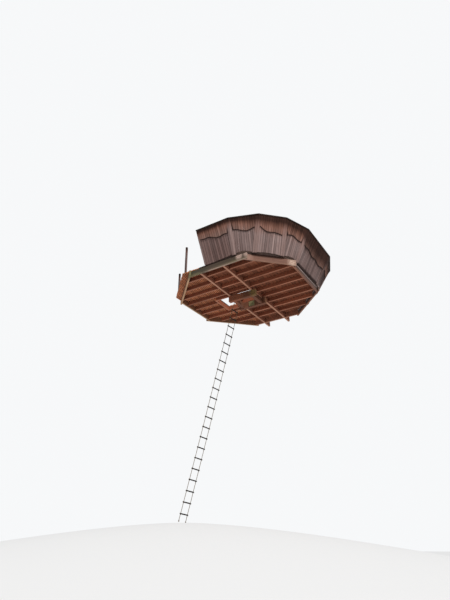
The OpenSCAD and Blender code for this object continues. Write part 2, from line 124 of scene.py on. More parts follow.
def tube_faces(first, rings, sides, closed=True):
    """Faces between rings of points that follow each other, and over both ends of a closed tube."""
    faces = []
    for ring in range(rings - 1):
        here = first + ring * sides
        for count in range(sides):
            after = (count + 1) % sides
            faces.append([here + count, here + after, here + sides + after, here + sides + count])
    if closed:
        last = first + (rings - 1) * sides
        faces.append([first + count for count in reversed(range(sides))])
        faces.append([last + count for count in range(sides)])
    return faces


# Camera: its place in metres, the way it looks in degrees, and its lens and sensor in millimetres

CAMERA_PLACE = Vector((7.3363, -12.9649, -8.0535))
CAMERA_HEADING = 122.224
CAMERA_CLIMB = 28.058
CAMERA_ROLL = -0.179
LENS = 26.993
SENSOR_WIDTH = 36
FARTHEST_SEEN = 500


def make_camera():
    data = bpy.data.cameras.new("camera")
    data.sensor_width = SENSOR_WIDTH
    data.lens = LENS
    data.clip_end = FARTHEST_SEEN
    camera = link("camera", data)
    turn = Matrix.Rotation(math.radians(CAMERA_HEADING - 90), 4, "Z")
    tilt = Matrix.Rotation(math.radians(90 + CAMERA_CLIMB), 4, "X")
    roll = Matrix.Rotation(math.radians(CAMERA_ROLL), 4, "Z")
    camera.matrix_world = Matrix.Translation(CAMERA_PLACE) @ turn @ tilt @ roll
    scene.camera = camera


# Materials


def srgb(red, green, blue):
    """A colour as it looks on a screen, from 0 to 255, in linear values."""
    def linear(value):
        share = value / 255
        return share / 12.92 if share <= 0.04045 else ((share + 0.055) / 1.055) ** 2.4
    return (linear(red), linear(green), linear(blue), 1.0)


# How often a pattern changes in a metre of wood: across, through and along each board
FIBRES = (260, 260, 3.0)
BANDS = (38, 38, 0.9)
CRACKS = (120, 120, 1.1)
KNOTS = (7, 7, 1.7)
STAIN_RUNS = (45, 45, 2.0)
END_RINGS = (90, 90, 1)
# The same for a rope's hairs
HAIRS = (900, 900, 60)
# The same for patterns that run on from piece to piece
PATCHES = (1.3, 1.3, 1.3)
SPECKS = (22, 22, 22)
ROPE_DIRT = (9, 9, 9)
RUST = (45, 45, 45)
PITS = (400, 400, 400)
# Depths of relief, in metres
WOOD_RELIEF = 0.0015
ROPE_RELIEF = 0.0008
IRON_RELIEF = 0.0004

CRACK_COLOUR = (0.02, 0.012, 0.01, 1)
GROOVE_COLOUR = srgb(40, 32, 24)
IRON_COLOUR = srgb(104, 103, 100)
RUST_COLOUR = srgb(101, 62, 40)
MOSS = (88, 92, 60)
# Painted shade: the colour of beam faces under the overhang, and the nearly black one of board feet and of
# the deck past the rim beams
OVERHANG_SHADE_COLOUR = srgb(60, 49, 41)
PAINTED_SHADE_COLOUR = srgb(34, 23, 20)

# Heights above a beam's lower edge between which the painted shade under the overhang sets in
OVERHANG_SHADE_HEIGHTS = (0.02, 0.09)
# Depths below a beam's upper edge between which the painted highlight of its lit top edge sets in
TOP_HIGHLIGHT_DEPTHS = (0.045, 0.03)
# How far inside the rim beams' outer faces the painted shade on the deck's edge begins
RIM_SHADE_INSET = 0.03
# Spots of at least this radius are hardly mottled
BROAD_SPOT = 0.9
# Rain stains below the cap, the second and darker one painted shade under the cap and on the right side:
# colour, how far they run down, their strength at the top, the share of the run that keeps it, and how
# many times further they run at the corners and on the right side
TOP_STAINS_AND_SHADE = [
    (srgb(120, 72, 52), 0.34, 0.72, 0.2, 1.7, 1.8),
    (srgb(46, 29, 24), 0.16, 0.94, 0.45, 1.85, 3.9)
]
# Share of a run at which it has faded out
STAIN_END = 1.1
# Where they grow longer on the way round to the right, the long dark run there being painted shade: metres
# right of the clamp's middle, less metres in front of it or behind it
CORNER_TURN = (-1.8, -0.4)
RIGHT_TURN = (1.6, 2.0)


class Shading:
    """Builds one node tree with short calls."""

    def __init__(self, owner):
        owner.use_nodes = True
        self.tree = owner.node_tree

    def put(self, socket, value):
        """Links another socket to this one, or sets its own value."""
        if isinstance(value, bpy.types.NodeSocket):
            self.tree.links.new(value, socket)
        else:
            socket.default_value = value

    def add(self, kind, inputs, **settings):
        node = self.tree.nodes.new("ShaderNode" + kind)
        for name, value in settings.items():
            setattr(node, name, value)
        for key, value in inputs.items():
            self.put(node.inputs[key], value)
        return node

    def math(self, operation, first, second=0.0):
        return self.add("Math", {0: first, 1: second}, operation=operation).outputs[0]


class Finish(Shading):
    """A node material in the making."""

    def __init__(self, name):
        self.material = bpy.data.materials.new(name)
        super().__init__(self.material)
        self.shader = self.tree.nodes["Principled BSDF"]

    def attribute(self, name, output):
        return self.add("Attribute", {}, attribute_name=name).outputs[output]

    def place(self):
        return self.add("TexCoord", {}).outputs["Object"]

    def parts(self, vector):
        """The three parts of a vector."""
        return self.add("SeparateXYZ", {0: vector}).outputs

    def spread(self, value, low, high, start=0.0, end=1.0):
        """A value moved from one range to another, without leaving it."""
        return self.add("MapRange", {0: value, 1: low, 2: high, 3: start, 4: end}).outputs[0]

    def mix(self, share, first, second, blend="MIX"):
        node = self.add("Mix", {0: share, 6: first, 7: second}, data_type="RGBA", blend_type=blend)
        return node.outputs[2]

    def stretched(self, vector, scales):
        return self.add("VectorMath", {0: vector, 1: scales}, operation="MULTIPLY").outputs[0]

    def noise(self, vector, scales, detail, roughness):
        inputs = {"Vector": self.stretched(vector, scales), "Detail": detail, "Roughness": roughness}
        return self.add("TexNoise", {"Scale": 1.0, **inputs}).outputs[0]

    def bump(self, height, depth, strength):
        inputs = {"Height": height, "Distance": depth, "Strength": strength}
        self.put(self.shader.inputs["Normal"], self.add("Bump", inputs).outputs[0])


class Wood(Finish):
    """Sawn wood whose grain follows each board. Each method lays one more thing over its colour."""

    def __init__(self, name, light, dark, stain, stain_share):
        super().__init__(name)
        self.grain = self.attribute("grain", "Vector")
        self.tone, self.end_face, self.across = self.parts(self.attribute("board", "Vector"))
        self.height = self.parts(self.place())[2]
        self.fibres = self.noise(self.grain, FIBRES, 3, 0.6)
        self.cracks = self.noise(self.grain, CRACKS, 2, 0.5)
        self.patches = self.noise(self.place(), PATCHES, 4, 0.6)
        self.specks = self.noise(self.place(), SPECKS, 3, 0.6)
        bands = self.noise(self.grain, BANDS, 4, 0.6)
        knots = self.add("TexVoronoi", {"Vector": self.stretched(self.grain, KNOTS), "Scale": 1.0})
        self.colour = self.mix(self.spread(bands, 0.3, 0.7), dark, light)
        self.lay(dark, self.spread(self.fibres, 0.35, 0.75, 0.0, 0.55))
        self.lay(stain, self.spread(self.patches, 0.42, 0.68, 0.0, stain_share))
        self.lay(CRACK_COLOUR, self.spread(self.cracks, 0.66, 0.74, 0.0, 0.6))
        self.lay(dark, self.spread(knots.outputs["Distance"], 0.05, 0.14, 0.75, 0.0))

    def lay(self, colour, share):
        """Mixes a share of a colour into what is there."""
        self.colour = self.mix(share, self.colour, colour)

    def off_clamp(self):
        """How far right of the clamp's middle a point lies, and how far off it along X and along Y."""
        offset = self.add("VectorMath", {0: self.place(), 1: CLAMP_MIDDLE}, operation="SUBTRACT").outputs[0]
        sizes = self.add("VectorMath", {0: offset}, operation="ABSOLUTE").outputs[0]
        x_off, y_off, _ = self.parts(sizes)
        return self.parts(offset)[0], x_off, y_off

    def lay_end_grain(self, end, dark):
        rings = self.noise(self.grain, END_RINGS, 4, 0.7)
        self.lay(self.mix(self.spread(rings, 0.4, 0.7, 0.0, 0.5), end, dark), self.end_face)

    # The orange stain is a rain stain; the dark one is painted shade under the cap, reaching far down on
    # the right side
    def lay_top_stains_and_shade(self):
        below = self.math("SUBTRACT", CAP_LOW, self.height)
        runs = self.noise(self.grain, STAIN_RUNS, 3, 0.6)
        to_right, _, y_off = self.off_clamp()
        turned = self.math("SUBTRACT", to_right, y_off)
        for colour, depth, most, core, on_corner, on_right in TOP_STAINS_AND_SHADE:
            reach = self.math("MULTIPLY", self.math("ADD", runs, 0.5), depth)
            corner = self.spread(turned, *CORNER_TURN, 1.0, on_corner)
            right = self.spread(turned, *RIGHT_TURN, 1.0, on_right)
            reach = self.math("MULTIPLY", reach, self.math("MAXIMUM", corner, right))
            self.lay(colour, self.spread(self.math("DIVIDE", below, reach), core, STAIN_END, most, 0.0))

    # Painted light from below: faces that look down take a lighter colour, in patches
    def lay_painted_underside(self, colour):
        underside_patches = self.spread(self.patches, 0.4, 0.65, 0.95, 0.5)
        self.lay(colour, self.math("MULTIPLY", self.attribute("under", "Fac"), underside_patches))

    # Painted shade: a beam's face darkens above a lit strip at its lower edge, as in the shade of the
    # overhanging deck and planks
    def lay_painted_overhang_shade(self, share):
        start, stop = OVERHANG_SHADE_HEIGHTS
        self.lay(OVERHANG_SHADE_COLOUR, self.spread(self.height, BEAM_LOW + start, BEAM_LOW + stop, 0.0, share))

    # Painted highlight: a pale strip along a beam's top edge, as where it catches the light
    def lay_painted_top_highlight(self, colour):
        start, stop = TOP_HIGHLIGHT_DEPTHS
        self.lay(colour, self.spread(self.height, BEAM_HIGH - start, BEAM_HIGH - stop, 0.0, 0.9))

    # Painted shade: a board is nearly black just above its lower end, as in the shadow along the upper
    # boards' wavy edge and at the planks' feet
    def lay_painted_foot_shade(self, reach):
        foot = self.attribute("foot", "Fac")
        self.lay(PAINTED_SHADE_COLOUR, self.spread(foot, reach / 2, reach, 0.92, 0.0))

    # Painted shade: what reaches past the rim beams' outer faces is nearly black, as in the shade under the
    # planks
    def lay_painted_rim_shade(self):
        _, x_off, y_off = self.off_clamp()
        diagonal = self.math("MULTIPLY", self.math("ADD", x_off, y_off), math.sqrt(0.5))
        reach = self.math("MAXIMUM", self.math("MAXIMUM", x_off, y_off), diagonal)
        self.lay(PAINTED_SHADE_COLOUR, self.spread(reach, RIM_REACH - RIM_SHADE_INSET, RIM_REACH, 0.0, 0.85))

    def lay_spot(self, point, radius, colour, share):
        """Lays a colour round a point, in full up to half the radius and none beyond it."""
        away = self.add("VectorMath", {0: self.place(), 1: point}, operation="DISTANCE").outputs["Value"]
        strength = self.math("MULTIPLY", self.spread(away, radius / 2, radius, 1.0, 0.0), share)
        faint = 0.4 if radius < BROAD_SPOT else 0.8
        share = self.math("MULTIPLY", strength, self.spread(self.specks, 0.35, 0.6, faint, 1.0))
        self.lay(colour, share)

    def lay_tones(self, tone_range, edge_joints_and_painted_light, edge_from):
        """Gives each board its own tone, and its long edges a lighter or darker one: dark joints, painted
        highlights on lit beam edges, and painted shade on slat sides and deck edges.
        """
        tones = self.spread(self.tone, 0.0, 1.0, 1.0 - tone_range, 1.0 + tone_range)
        edges = self.spread(self.math("ABSOLUTE", self.across), edge_from, 1.0, 1.0, 1.0 + edge_joints_and_painted_light)
        shade = self.math("MULTIPLY", tones, edges)
        grey = self.add("CombineColor", {0: shade, 1: shade, 2: shade}).outputs[0]
        self.colour = self.mix(1.0, self.colour, grey, "MULTIPLY")

    def surface(self, shine):
        """Hands the colour to the shader, with the wood's gloss and relief."""
        self.put(self.shader.inputs["Base Color"], self.colour)
        self.put(self.shader.inputs["Roughness"], self.spread(self.fibres, 0.3, 0.7, 0.72, 0.9))
        self.shader.inputs["Specular IOR Level"].default_value = shine
        relief = self.math("ADD", self.fibres, self.spread(self.cracks, 0.62, 0.74, 0.0, -1.5))
        self.bump(relief, WOOD_RELIEF, 0.7)


def wood(name, light, dark, end, stain, stain_share=0.5, tone_range=0.3, edge_joints_and_painted_light=-0.35, edge_from=0.72,
         top_stain_and_shade=False, painted_underside=None, overhang_shade=0.0, lit_top_edge=None, foot_shade=0.0, shaded_rim=False, spots=(),
         shine=0.25):
    """Wood by the screen colours of its light and dark grain, its end faces and its stained patches.

    Tone range is how far boards differ. The edge value makes a board's long edges lighter, or darker
    below 0, from a share of its half-width outwards: dark joints, painted highlights on lit beam edges
    and painted shade on slat sides and deck edges. A top stain has run down from the cap, its dark part
    painted shade. Overhang shade is painted shade darkening a beam above its lower edge, and the painted
    underside and the lit top edge have their own colours, painted light from below and a painted
    highlight. Foot shade is how far up from its lower end a board is nearly black, painted shade, and
    with a shaded rim so is what reaches the rim beams' outer faces. Spots are (point from the clamp,
    radius, colour, share), some of them painted shade.
    """
    light, dark, end, stain = [srgb(*colour) for colour in (light, dark, end, stain)]
    finish = Wood(name, light, dark, stain, stain_share)
    finish.lay_end_grain(end, dark)
    if top_stain_and_shade:
        finish.lay_top_stains_and_shade()
    if painted_underside:
        finish.lay_painted_underside(srgb(*painted_underside))
    if overhang_shade:
        finish.lay_painted_overhang_shade(overhang_shade)
    if lit_top_edge:
        finish.lay_painted_top_highlight(srgb(*lit_top_edge))
    if foot_shade:
        finish.lay_painted_foot_shade(foot_shade)
    if shaded_rim:
        finish.lay_painted_rim_shade()
    for point, radius, colour, share in spots:
        finish.lay_spot(from_clamp(*point), radius, srgb(*colour), share)
    finish.lay_tones(tone_range, edge_joints_and_painted_light, edge_from)
    finish.surface(shine)
    return finish.material


def rope_finish():
    """Laid fibre: fine hairs along the strands, patches of dirt, and darker grooves between the strands."""
    finish = Finish("laid_rope")
    light = srgb(150, 132, 104)
    dark = srgb(104, 88, 66)
    hairs = finish.noise(finish.attribute("grain", "Vector"), HAIRS, 3, 0.6)
    dirt = finish.noise(finish.place(), ROPE_DIRT, 4, 0.6)
    colour = finish.mix(finish.spread(hairs, 0.35, 0.7), dark, light)
    colour = finish.mix(finish.spread(dirt, 0.45, 0.75, 0.0, 0.5), colour, dark)
    in_groove = finish.math("MULTIPLY", finish.attribute("groove", "Fac"), 0.7)
    colour = finish.mix(in_groove, colour, GROOVE_COLOUR)
    finish.put(finish.shader.inputs["Base Color"], colour)
    finish.shader.inputs["Roughness"].default_value = 0.9
    finish.shader.inputs["Specular IOR Level"].default_value = 0.2
    finish.bump(hairs, ROPE_RELIEF, 0.8)
    return finish.material


def iron_finish():
    """Forged and galvanized fittings, dulled, with rust in patches."""
    finish = Finish("dull_iron")
    rust = finish.noise(finish.place(), RUST, 5, 0.65)
    pits = finish.noise(finish.place(), PITS, 3, 0.6)
    share = finish.spread(rust, 0.42, 0.6)
    finish.put(finish.shader.inputs["Base Color"], finish.mix(share, IRON_COLOUR, RUST_COLOUR))
    finish.put(finish.shader.inputs["Metallic"], finish.spread(share, 0.0, 1.0, 0.8, 0.1))
    finish.put(finish.shader.inputs["Roughness"], finish.spread(share, 0.0, 1.0, 0.45, 0.85))
    finish.bump(pits, IRON_RELIEF, 0.6)
    return finish.material


def silver_planks(name, foot_shade):
    """The parapet's weathered planks, darker towards the near end, with painted shade on the right side and
    the far turn.
    """
    return wood(
        name, (160, 140, 136), (114, 95, 92), (72, 52, 42), (118, 95, 89),
        edge_joints_and_painted_light=-0.65, top_stain_and_shade=True, foot_shade=foot_shade, shine=0.08,
        spots=[((-100, -2700, 600), 1.7, (90, 63, 57), 0.56),
               # Painted shade on the right side and, darkest, on the far turn
               ((2750, 300, 600), 1.5, (80, 64, 63), 0.36),
               ((2900, 1600, 900), 1.05, (46, 29, 26), 0.76)])


silver_wood = silver_planks("silver_planks", 0.0)
right_silver_wood = silver_planks("right_silver_planks", 0.08)
# The corner boards' dark spot is painted shade on the far turn
corner_wood = wood(
    "corner_planks", (156, 134, 129), (116, 95, 91), (72, 52, 42), (120, 95, 88),
    tone_range=0.1, edge_joints_and_painted_light=-0.6, top_stain_and_shade=True, shine=0.08,
    spots=[((2850, 1350, 700), 0.9, (58, 42, 38), 0.7)])
# The upper boards' nearly black ends and foot are painted shade along their wavy lower edge
wave_wood = wood(
    "upper_boards", (154, 125, 116), (108, 84, 77), (26, 17, 15), (118, 88, 76),
    tone_range=0.28, edge_joints_and_painted_light=-0.55, top_stain_and_shade=True, foot_shade=0.048, shine=0.08)
inner_wood = wood(
    "parapet_framing", (140, 118, 108), (95, 76, 68), (150, 120, 95), (110, 84, 72))
cap_wood = wood(
    "cap_boards", (64, 50, 44), (38, 29, 25), (78, 60, 48), (56, 47, 38))
# The beams and timbers here take a lighter painted underside, painted light from below, and lighter long
# edges, painted highlights
grey_beam = wood(
    "grey_green_beam", (108, 89, 76), (74, 61, 52), (150, 122, 98), (92, 86, 62),
    stain_share=0.7, tone_range=0.05, edge_joints_and_painted_light=0.15, painted_underside=(166, 143, 128), overhang_shade=0.85,
    spots=[((-1110, -2480, 100), 0.4, MOSS, 0.9),
           ((-620, -2450, 120), 0.55, (54, 52, 40), 0.85),
           ((1060, -2440, 150), 0.16, (180, 154, 142), 0.85),
           ((1350, -2440, 150), 0.15, (176, 150, 138), 0.8),
           *[((x, -2400, -90), 0.2, (104, 97, 67), 0.75) for x in (-950, -780, -610)]])
pale_beam = wood(
    "pale_beam", (134, 97, 83), (94, 66, 55), (205, 188, 174), (112, 80, 67),
    tone_range=0.05, edge_joints_and_painted_light=0.1, painted_underside=(156, 118, 98),
    spots=[((2330, -1100, 80), 0.26, (206, 180, 162), 0.75),
           ((1200, -2230, 100), 0.3, (170, 136, 122), 0.6)])
terrace_beam = wood(
    "terrace_beam", (140, 92, 66), (100, 62, 44), (150, 116, 90), (112, 78, 54),
    tone_range=0.05, edge_joints_and_painted_light=0.1, painted_underside=(182, 148, 116),
    spots=[((-920, -2510, 100), 0.36, MOSS, 0.95)])
# The right rim beams' broad dark spot is painted shade on their outer faces
right_beam = wood(
    "right_beam", (128, 86, 68), (90, 58, 46), (120, 90, 72), (98, 68, 52),
    tone_range=0.06, edge_joints_and_painted_light=0.1, painted_underside=(136, 92, 72), overhang_shade=0.8,
    lit_top_edge=(158, 142, 140), spots=[((2425, 500, 100), 1.1, (82, 68, 66), 0.45)])
brown_beam = wood(
    "brown_beam", (152, 94, 70), (108, 62, 46), (116, 88, 70), (112, 72, 52),
    tone_range=0.08, edge_joints_and_painted_light=0.15, painted_underside=(170, 126, 103))
clamp_wood = wood(
    "clamp_timber", (116, 72, 50), (78, 46, 32), (150, 108, 80), (96, 64, 42),
    tone_range=0.08, edge_joints_and_painted_light=0.1, painted_underside=(106, 68, 52),
    spots=[((500, -460, -120), 0.22, (122, 106, 60), 0.75),
           ((-350, -460, -140), 0.5, (158, 92, 64), 0.5)])
pad_wood = wood(
    "clamp_pads", (136, 126, 88), (90, 82, 56), (150, 130, 96), MOSS)
# The joists' lighter underside is painted light from below
red_wood = wood(
    "reddish_timber", (156, 88, 60), (108, 56, 38), (186, 116, 78), (118, 66, 44),
    tone_range=0.16, edge_joints_and_painted_light=0.0, painted_underside=(168, 113, 89))
# The deck boards' dark ends, darker long edges and shaded rim are painted shade on the deck's edge
floor_wood = wood(
    "floor_boards", (144, 86, 61), (104, 58, 39), (66, 42, 34), (112, 66, 45),
    tone_range=0.22, edge_joints_and_painted_light=-0.4, shaded_rim=True)
# The slats' dark sides and long edges are painted shade between them, and their lighter underside painted
# light from below
slat_wood = wood(
    "terrace_slats", (176, 104, 70), (124, 66, 44), (226, 146, 90), (140, 82, 56),
    tone_range=0.22, edge_joints_and_painted_light=-0.92, edge_from=0.5, painted_underside=(220, 139, 97))
rung_wood = wood(
    "rungs", (42, 33, 27), (23, 19, 16), (80, 62, 46), (32, 27, 21), edge_joints_and_painted_light=0.0)
rope_grey = rope_finish()
iron = iron_finish()


# Cutting the solids into boards

# Points nearer than this, in metres, are one
MERGE = 1e-5
# Faces within this angle are one face
FLAT = math.radians(1.0)
# Edges past this angle are rounded
SHARP = math.radians(25)
# How near to a cutting plane a point lies on it
ON_PLANE = 1e-6
# The way that a board's length points
AHEAD = Vector((1, 0.9, 0.8))
# How far a board's sides face along it at most, and its ends at least
SIDE_MOST = 0.3
END_LEAST = 0.6
# How far a level board climbs at most
LEVEL_MOST = 0.3
# Share of its width, next to each long edge, in which its lower end is measured
FOOT_SHARE = 0.2
# Share of its length, at each end, that stands out of line
END_SHARE = 0.06
# Bends in a metre of board, and the rows of noise that bend it edgewise and flatwise
BENDS = 1.6
EDGEWISE = 0
FLATWISE = 50
# How far apart the boards' grain may start
GRAIN_SPREAD = 40


def face_groups(whole):
    """Faces that hang together, in the order of the mesh."""
    seen = set()
    groups = []
    for start in whole.faces:
        if start.index in seen:
            continue
        seen.add(start.index)
        queue = [start]
        group = []
        while queue:
            face = queue.pop()
            group.append(face)
            for edge in face.edges:
                for other in edge.link_faces:
                    if other.index not in seen:
                        seen.add(other.index)
                        queue.append(other)
        groups.append(group)
    return groups


def solid_from(group):
    """A new bmesh of some faces of another."""
    solid = bmesh.new()
    made = {}
    for face in group:
        for vert in face.verts:
            if vert.index not in made:
                made[vert.index] = solid.verts.new(vert.co)
    for face in group:
        solid.faces.new([made[vert.index] for vert in face.verts])
    bmesh.ops.recalc_face_normals(solid, faces=solid.faces)
    return solid


def middle(solid):
    lows = [min(vert.co[axis] for vert in solid.verts) for axis in range(3)]
    highs = [max(vert.co[axis] for vert in solid.verts) for axis in range(3)]
    return (Vector(lows) + Vector(highs)) / 2


def solids_of(node):
    """Each closed solid of a CAD node, with its flat faces whole, sorted by place."""
    whole = bmesh.new()
    whole.from_mesh(nodes[node].data)
    bmesh.ops.remove_doubles(whole, verts=whole.verts, dist=MERGE)
    bmesh.ops.dissolve_limit(whole, angle_limit=FLAT, verts=whole.verts[:], edges=whole.edges[:])
    whole.verts.index_update()
    whole.faces.index_update()
    solids = [solid_from(group) for group in face_groups(whole)]
    whole.free()
    return sorted(solids, key=lambda solid: [round(value, 3) for value in middle(solid)])


def bisect(solid, point, normal, remove):
    """Cuts a solid's faces along a plane, and gives the new edges."""
    geometry = solid.verts[:] + solid.edges[:] + solid.faces[:]
    cut = bmesh.ops.bisect_plane(
        solid, geom=geometry, dist=ON_PLANE, plane_co=point, plane_no=normal, clear_outer=remove)
    return [item for item in cut["geom_cut"] if isinstance(item, bmesh.types.BMEdge)]


def trim(solid, point, normal):
    """Cuts off what lies beyond a plane and closes the cut."""
    rim = bisect(solid, point, normal, True)
    if rim:
        bmesh.ops.holes_fill(solid, edges=rim, sides=0)


def extent(solid, axis):
    values = [vert.co.dot(axis) for vert in solid.verts]
    return min(values), max(values)


def sloping_axes(solid):
    """Unit vectors across, out of and up a leaning board, whose outer side looks down."""
    biggest = max(solid.faces, key=lambda face: face.calc_area())
    depth = biggest.normal.copy()
    if depth.z > 0:
        depth.negate()
    across = UP.cross(depth).normalized()
    return across, depth, depth.cross(across)


def board_axes(solid, along=None):
    """Unit vectors across, through and along a board, by its biggest side and its longest edge."""
    if along is None:
        longest = max(solid.edges, key=lambda edge: edge.calc_length())
        along = (longest.verts[1].co - longest.verts[0].co).normalized()
        if along.dot(AHEAD) < 0:
            along.negate()
    sides = [face for face in solid.faces if abs(face.normal.dot(along)) < SIDE_MOST]
    depth = max(sides, key=lambda face: round(face.calc_area(), 5)).normal
    depth = (depth - along * depth.dot(along)).normalized()
    return depth.cross(along), depth, along


def foot_corners(solid, across, along):
    """Where a board's lower end lies along it, at each of its two long edges."""
    low, high = extent(solid, across)
    reach = (high - low) * FOOT_SHARE
    left = [vert.co.dot(along) for vert in solid.verts if vert.co.dot(across) < low + reach]
    right = [vert.co.dot(along) for vert in solid.verts if vert.co.dot(across) > high - reach]
    return min(left), min(right)


class Pile:
    """Boards that end up in one mesh, with what their finish needs to know of each.

    Grain is the place in the board's own wood. Board holds its tone, whether the face is an end, and
    the place across it from -1 to 1. Under is how far the face looks down, and foot is the distance
    from the board's lower end.
    """

    def __init__(self):
        self.points = []
        self.faces = []
        self.grain = []
        self.board = []
        self.under = []
        self.foot = []

    def add(self, solid, axes, rng):
        """Takes over a solid and frees it."""
        across, _, along = axes
        first = len(self.points)
        solid.verts.index_update()
        lows = [extent(solid, axis)[0] for axis in axes]
        low, high = extent(solid, across)
        width = high - low
        feet = foot_corners(solid, across, along)
        offset = Vector([rng.uniform(0, GRAIN_SPREAD) for _ in axes])
        tone = rng.random()
        for vert in solid.verts:
            self.points.append(vert.co[:])
            local = Vector([vert.co.dot(axis) for axis in axes]) - Vector(lows)
            self.grain.extend(local + offset)
            end_line = feet[0] + (feet[1] - feet[0]) * local.x / width
            self.foot.append(vert.co.dot(along) - end_line)
        for face in solid.faces:
            is_end = 1.0 if abs(face.normal.dot(along)) > END_LEAST else 0.0
            down = max(0.0, -face.normal.z) if abs(along.z) < LEVEL_MOST else 0.0
            self.faces.append([first + vert.index for vert in face.verts])
            for vert in face.verts:
                share = 2 * (vert.co.dot(across) - low) / width - 1
                self.board.extend((tone, is_end, share))
                self.under.append(down)
        solid.free()

    def build(self, name, material, *replaced):
        mesh = new_mesh(name, self.points, self.faces, material, grain=self.grain, board=self.board,
                        under=self.under, foot=self.foot)
        place_piece(mesh, name, replaced)


def weather(solid, axes, rng, wander, end_play):
    """Lets a board bend a little along its length, and its two ends stand a little out of line."""
    across, depth, along = axes
    low, high = extent(solid, along)
    seed = rng.uniform(0, 100)
    plays = (rng.uniform(-end_play, end_play), rng.uniform(-end_play, end_play))
    for vert in solid.verts:
        reach = vert.co.dot(along)
        share = (reach - low) / (high - low)
        side = noise.noise(Vector((reach * BENDS, seed, EDGEWISE))) * wander
        bow = noise.noise(Vector((reach * BENDS, seed, FLATWISE))) * wander
        vert.co += across * side + depth * bow
        if share < END_SHARE:
            vert.co += along * plays[0]
        elif share > 1 - END_SHARE:
            vert.co += along * plays[1]


def round_edges(solid, width):
    sharp = [edge for edge in solid.edges
             if len(edge.link_faces) == 2 and edge.calc_face_angle() > SHARP]
    bmesh.ops.bevel(solid, geom=sharp, offset=width, segments=1, affect="EDGES", clamp_overlap=True)


def dress_board(pile, solid, axes, rng, step=0.3, wander=0.002, edge=0.003, end_play=0.0):
    """Rings along the board, a slight bend, soft edges, and then onto the pile."""
    along = axes[2]
    low, high = extent(solid, along)
    rings = int((high - low) / step)
    for ring in range(1, rings):
        bisect(solid, along * (low + (high - low) * ring / rings), along, False)
    weather(solid, axes, rng, wander, end_play)
    solid.normal_update()
    round_edges(solid, edge)
    solid.normal_update()
    pile.add(solid, axes, rng)


def strips(solid, across, pitch, gap, rng, play=0.0):
    """Cuts a solid into strips of about one width, with gaps between them, and frees it."""
    low, high = extent(solid, across)
    count = max(1, round((high - low) / pitch))
    width = (high - low) / count
    edges = [low + width * place for place in range(count + 1)]
    for place in range(1, count):
        edges[place] += rng.uniform(-play, play)
    made = []
    for start, stop in zip(edges, edges[1:]):
        strip = solid.copy()
        if start > low:
            trim(strip, across * (start + gap / 2), -across)
        if stop < high:
            trim(strip, across * (stop - gap / 2), across)
        made.append(strip)
    solid.free()
    return made


def single_boards(name, material, *replaced, **looks):
    """One board for each solid of the nodes."""
    pile = Pile()
    for node in replaced:
        for count, solid in enumerate(solids_of(node)):
            rng = random.Random(f"{node} {count}")
            dress_board(pile, solid, board_axes(solid), rng, **looks)
    pile.build(name, material, *replaced)


# Parapet

SIDES = [
    "near", "near_turn_a", "near_corner", "near_turn_b", "right", "far_turn_b", "far_corner", "far_turn_a",
    "far"
]
PLANK_PITCH = 0.080
PLANK_GAP = 0.0015
# How far the joints between planks lie out of step
PLANK_PLAY = 0.016
# Planks under the first width are left out, and those under the second have no nails
LEAST_PLANK = 0.012
LEAST_NAILED = 0.045
# How far a plank may stand behind its neighbours
SET_BACK = 0.004
# Nails above a plank's lower end and below its upper end, and how far they lie off its middle
NAIL_UP = 0.09
NAIL_DOWN = 0.05
NAIL_PLAY = 0.012
# How far the ends of the planks, and of the upper boards, stand out of line
PLANK_END_PLAY = 0.004
UPPER_END_PLAY = 0.002
# Length of the steps in which leaning boards bend
LEANING_STEP = 0.16
# How far a corner board's long edges are moved out, so that the two of a pair meet
CORNER_WIDENING = 0.0035


def sloping_planks(pile, solid, rng, end_play, nails):
    """Cuts a leaning side into planks, and notes where their nails are."""
    axes = sloping_axes(solid)
    across, depth, along = axes
    face = extent(solid, depth)[1]
    for strip in strips(solid, across, PLANK_PITCH, PLANK_GAP, rng, PLANK_PLAY):
        low, high = extent(strip, along)
        start, stop = extent(strip, across)
        if stop - start < LEAST_PLANK:
            strip.free()
            continue
        set_back = rng.uniform(0.0, SET_BACK)
        for vert in strip.verts:
            vert.co -= depth * set_back
        if stop - start > LEAST_NAILED:
            centre = across * ((start + stop) / 2)
            for height in (NAIL_UP, high - low - NAIL_DOWN):
                spot = centre + along * (low + height) + depth * (face - set_back)
                nails.append((spot + across * rng.uniform(-NAIL_PLAY, NAIL_PLAY), depth.copy()))
        dress_board(pile, strip, axes, rng, step=LEANING_STEP, edge=0.002, end_play=end_play)


def plank_side(name, material, node, seed, end_play, nails):
    pile = Pile()
    for count, solid in enumerate(solids_of(node)):
        sloping_planks(pile, solid, random.Random(f"{seed} {count}"), end_play, nails)
    pile.build(name, material, node)


def widen(solid, axes, reach):
    """Moves both long edges of a board outwards."""
    across, _, along = axes
    centre = sum(extent(solid, along)) / 2
    upper = [vert for vert in solid.verts if vert.co.dot(along) > centre]
    lower = [vert for vert in solid.verts if vert.co.dot(along) <= centre]
    for end in (upper, lower):
        line = sum(vert.co.dot(across) for vert in end) / len(end)
        for vert in end:
            vert.co += across * math.copysign(reach, vert.co.dot(across) - line)


def corner_boards():
    pile = Pile()
    for count, solid in enumerate(solids_of("parapet_corner_boards")):
        axes = sloping_axes(solid)
        widen(solid, axes, CORNER_WIDENING)
        dress_board(pile, solid, axes, random.Random(f"corner {count}"), step=LEANING_STEP, wander=0.0)
    pile.build("corner_boards", corner_wood, "parapet_corner_boards")


